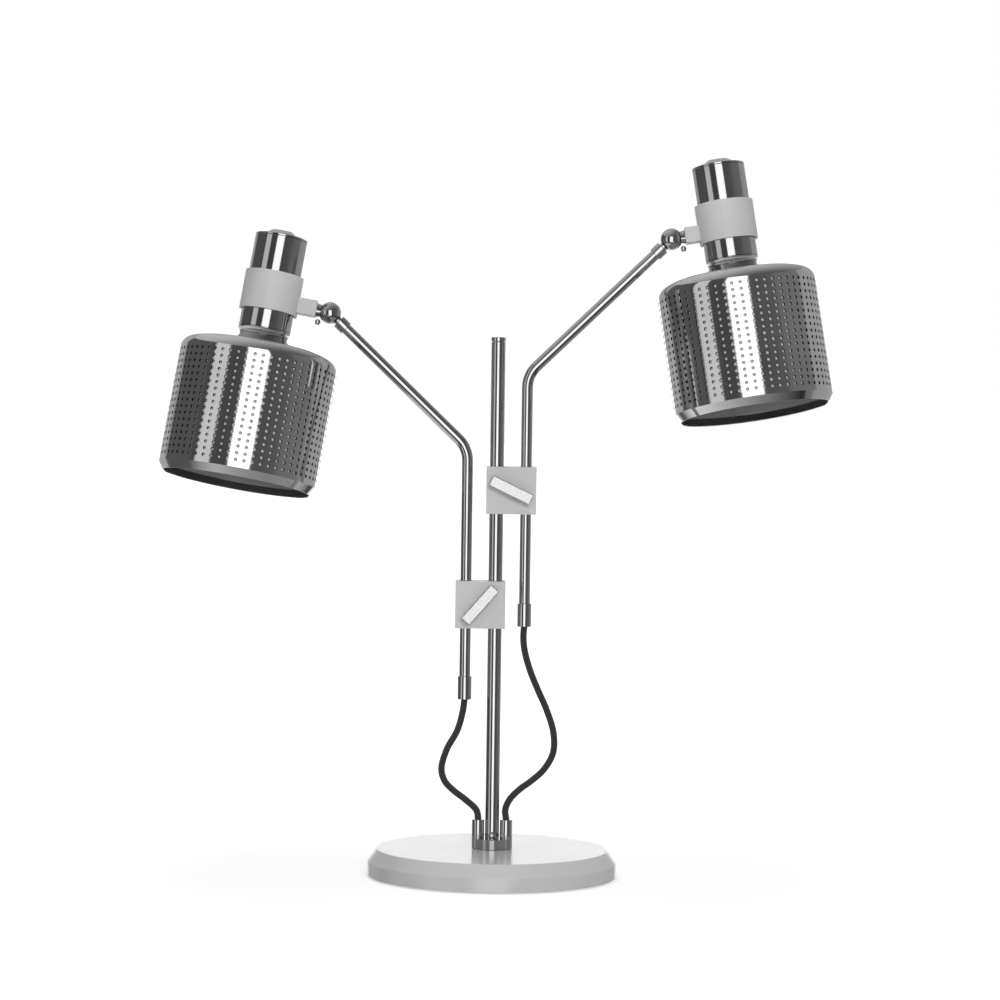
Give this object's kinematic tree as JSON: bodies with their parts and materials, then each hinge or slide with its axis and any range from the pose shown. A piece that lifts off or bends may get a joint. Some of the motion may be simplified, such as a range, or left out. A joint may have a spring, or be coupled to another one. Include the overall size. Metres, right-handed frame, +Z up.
{
  "type": "double-head table lamp",
  "caption": "Table lamp with a round weighted base, an upright stem, sliding clamp blocks with lever handles, bent arms and perforated metal shades on ball joints.",
  "frame": {"origin": "centre of the underside of the foot pad, on the stem's axis", "axes": "+Z up along the stem, -Y towards the viewer of the picture, +X to that viewer's right"},
  "size_m": [0.602, 0.2283, 0.6509],
  "materials": {
    "satin_paint": "satin light grey powder coat",
    "dark_nickel": "dark polished nickel",
    "brushed_steel": "fine brushed, bright",
    "zinc_steel": "zinc plated",
    "cast_iron": "as cast",
    "black_nylon": "matte black nylon",
    "white_plastic": "matte white",
    "porcelain": "glazed white porcelain",
    "brass": "plain brass",
    "felt": "dark grey felt",
    "fabric_cord": "black braided textile"
  },
  "bodies": {
    "base": {"base_cover": "satin_paint", "foot_pad": "felt", "plate_screw_1": "zinc_steel", "plate_screw_2": "zinc_steel", "plate_screw_3": "zinc_steel", "bottom_plate": "zinc_steel", "ballast_weight": "cast_iron", "terminal_block": "white_plastic", "mains_gland": "black_nylon", "stem": "dark_nickel", "stem_cap": "dark_nickel", "stem_nut": "zinc_steel", "stem_foot_boss": "dark_nickel", "stem_screw": "dark_nickel", "left_gland": "dark_nickel", "left_gland_screw": "dark_nickel", "right_gland": "dark_nickel", "right_gland_screw": "dark_nickel", "left_cord_lower": "fabric_cord", "right_cord_lower": "fabric_cord"},
    "left_carriage": {"left_stem_liner": "black_nylon", "left_cord_middle": "fabric_cord"},
    "left_clamp": {"left_front_jaw": "satin_paint", "left_rear_jaw": "satin_paint", "left_clamp_nut": "zinc_steel", "left_cord_upper": "fabric_cord"},
    "left_handle": {"left_lever": "brushed_steel"},
    "left_arm_stop": {"left_arm_ring": "black_nylon"},
    "left_arm": {"left_arm_tube": "dark_nickel", "left_ferrule": "dark_nickel", "left_arm_sleeve": "dark_nickel"},
    "left_ball_stud": {"left_ball": "dark_nickel"},
    "left_cup": {"left_ball_cup": "dark_nickel"},
    "left_knob": {"left_thumb_screw": "dark_nickel"},
    "left_head": {"left_collar": "satin_paint", "left_neck_tube": "dark_nickel", "left_neck_cap": "dark_nickel", "left_shade": "dark_nickel", "left_lampholder": "porcelain", "left_lamp_contact": "brass"},
    "right_carriage": {"right_stem_liner": "black_nylon", "right_cord_middle": "fabric_cord"},
    "right_clamp": {"right_front_jaw": "satin_paint", "right_rear_jaw": "satin_paint", "right_clamp_nut": "zinc_steel", "right_cord_upper": "fabric_cord"},
    "right_handle": {"right_lever": "brushed_steel"},
    "right_arm_stop": {"right_arm_ring": "black_nylon"},
    "right_arm": {"right_arm_tube": "dark_nickel", "right_ferrule": "dark_nickel", "right_arm_sleeve": "dark_nickel"},
    "right_ball_stud": {"right_ball": "dark_nickel"},
    "right_cup": {"right_ball_cup": "dark_nickel"},
    "right_knob": {"right_thumb_screw": "dark_nickel"},
    "right_head": {"right_collar": "satin_paint", "right_neck_tube": "dark_nickel", "right_neck_cap": "dark_nickel", "right_shade": "dark_nickel", "right_lampholder": "porcelain", "right_lamp_contact": "brass"}
  },
  "joints": [
    {"name": "left_clamp_slide", "type": "slide", "parent": "base", "child": "left_carriage", "axis": [0, 0, 1], "range_m": [-0.04, 0.008], "deforming": ["left_cord_lower"]},
    {"name": "left_clamp_swing", "type": "hinge", "parent": "left_carriage", "child": "left_clamp", "pos_m": [0, 0, 0.2464], "axis": [0, 0, 1], "range_deg": [-90, 55], "deforming": ["left_cord_middle"]},
    {"name": "left_lever_turn", "type": "hinge", "parent": "left_clamp", "child": "left_handle", "pos_m": [-0.01325, 0, 0.2474], "axis": [0, -1, 0], "range_deg": [0, 150]},
    {"name": "left_arm_slide", "type": "slide", "parent": "left_clamp", "child": "left_arm_stop", "axis": [0, 0, 1], "range_m": [-0.012, 0.005], "deforming": ["left_cord_upper"]},
    {"name": "left_arm_turn", "type": "hinge", "parent": "left_arm_stop", "child": "left_arm", "pos_m": [-0.0265, 0, 0.2464], "axis": [0, 0, 1], "range_deg": [-90, 90]},
    {"name": "left_ball_swivel", "type": "hinge", "parent": "left_arm", "child": "left_ball_stud", "pos_m": [-0.1518, 0, 0.507], "axis": [-0.7228, 0, 0.6911], "range_deg": [-90, 90]},
    {"name": "left_head_tilt", "type": "hinge", "parent": "left_ball_stud", "child": "left_cup", "pos_m": [-0.1518, 0, 0.507], "axis": [0, 1, 0], "range_deg": [-20, 80]},
    {"name": "left_thumb_screw_turn", "type": "hinge", "parent": "left_cup", "child": "left_knob", "pos_m": [-0.16127, 0, 0.50858], "axis": [0.165, 0, 0.9863], "range_deg": [0, 180]},
    {"name": "left_head_roll", "type": "hinge", "parent": "left_cup", "child": "left_head", "pos_m": [-0.1518, 0, 0.507], "axis": [0.9863, 0, -0.165], "range_deg": [-60, 45]},
    {"name": "right_clamp_slide", "type": "slide", "parent": "base", "child": "right_carriage", "axis": [0, 0, 1], "range_m": [-0.04, 0.012], "deforming": ["right_cord_lower"]},
    {"name": "right_clamp_swing", "type": "hinge", "parent": "right_carriage", "child": "right_clamp", "pos_m": [0, 0, 0.3497], "axis": [0, 0, 1], "range_deg": [-55, 90], "deforming": ["right_cord_middle"]},
    {"name": "right_lever_turn", "type": "hinge", "parent": "right_clamp", "child": "right_handle", "pos_m": [0.01325, 0, 0.3507], "axis": [0, -1, 0], "range_deg": [0, 150]},
    {"name": "right_arm_slide", "type": "slide", "parent": "right_clamp", "child": "right_arm_stop", "axis": [0, 0, 1], "range_m": [-0.012, 0.005], "deforming": ["right_cord_upper"]},
    {"name": "right_arm_turn", "type": "hinge", "parent": "right_arm_stop", "child": "right_arm", "pos_m": [0.0265, 0, 0.3497], "axis": [0, 0, 1], "range_deg": [-90, 90]},
    {"name": "right_ball_swivel", "type": "hinge", "parent": "right_arm", "child": "right_ball_stud", "pos_m": [0.154, 0, 0.5772], "axis": [0.7183, 0, 0.6957], "range_deg": [-90, 90]},
    {"name": "right_head_tilt", "type": "hinge", "parent": "right_ball_stud", "child": "right_cup", "pos_m": [0.154, 0, 0.5772], "axis": [0, -1, 0], "range_deg": [-20, 80]},
    {"name": "right_thumb_screw_turn", "type": "hinge", "parent": "right_cup", "child": "right_knob", "pos_m": [0.16348, 0, 0.5787], "axis": [-0.1564, 0, 0.9877], "range_deg": [0, 180]},
    {"name": "right_head_roll", "type": "hinge", "parent": "right_cup", "child": "right_head", "pos_m": [0.154, 0, 0.5772], "axis": [-0.9877, 0, -0.1564], "range_deg": [-45, 60]}
  ]
}
